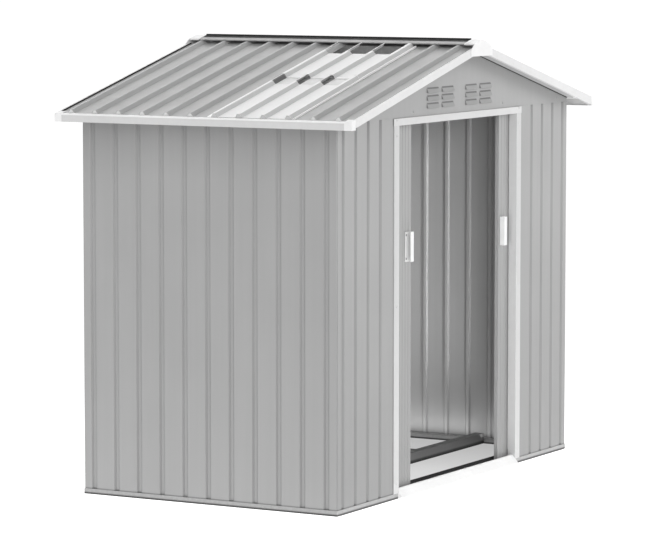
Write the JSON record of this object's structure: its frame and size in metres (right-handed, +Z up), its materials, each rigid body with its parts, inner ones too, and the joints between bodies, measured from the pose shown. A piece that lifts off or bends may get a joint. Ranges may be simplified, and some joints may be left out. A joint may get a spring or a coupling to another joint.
{
  "type": "apex metal storage shed",
  "caption": "Small gabled steel storage shed with ribbed walls, translucent roof lights, louvred gables and a pair of sliding doors on a sill track.",
  "frame": {"origin": "on the ground at the middle of the plan", "axes": "+Z up, +X to the right along the doorway side, which faces -Y"},
  "size_m": [2.132, 1.3186, 1.7721],
  "materials": {
    "sheet_grey": "satin",
    "trim_white": "satin",
    "galvanised": "dull zinc",
    "skylight": "milky translucent sheet",
    "white_plastic": "moulded",
    "slider_plastic": "nylon",
    "seal_rubber": "matt",
    "track_dark": "satin"
  },
  "bodies": {
    "shed": {"wall_right": "sheet_grey", "wall_left": "sheet_grey", "wall_back": "sheet_grey", "front_wall_right": "sheet_grey", "front_wall_left": "sheet_grey", "gable_front": "sheet_grey", "gable_back": "sheet_grey", "roof_sheet_right_front": "sheet_grey", "roof_sheet_left_front": "sheet_grey", "roof_sheet_right_back": "sheet_grey", "roof_sheet_left_back": "sheet_grey", "ridge_cap": "sheet_grey", "door_jambs": "trim_white", "door_header": "trim_white", "door_sill": "trim_white", "eave_trims": "trim_white", "rake_trims_front": "trim_white", "rake_trims_back": "trim_white", "base_rail_right": "galvanised", "base_rail_left": "galvanised", "base_rails_front": "galvanised", "base_rail_back": "galvanised", "floor_beam_cross": "galvanised", "floor_beams_long": "galvanised", "door_track_top": "galvanised", "wall_plates": "galvanised", "ridge_beam": "galvanised", "roof_purlins": "galvanised", "skylight_right_lower": "skylight", "skylight_left_lower": "skylight", "skylight_right_upper": "skylight", "skylight_left_upper": "skylight", "eave_corner_caps": "white_plastic", "ridge_end_caps": "white_plastic", "roof_seals": "seal_rubber", "ridge_crest_strip": "seal_rubber", "door_track_bottom": "track_dark"},
    "door_left": {"door_left_panel": "sheet_grey", "door_left_rails": "galvanised", "door_left_handle": "white_plastic", "door_left_sliders": "slider_plastic"},
    "door_right": {"door_right_panel": "sheet_grey", "door_right_rails": "galvanised", "door_right_handle": "white_plastic", "door_right_sliders": "slider_plastic"}
  },
  "joints": [
    {"name": "door_left_slide", "type": "slide", "parent": "shed", "child": "door_left", "axis": [1, 0, 0], "range_m": [-0.076, 0.343]},
    {"name": "door_right_slide", "type": "slide", "parent": "shed", "child": "door_right", "axis": [-1, 0, 0], "range_m": [0, 0.419]}
  ]
}
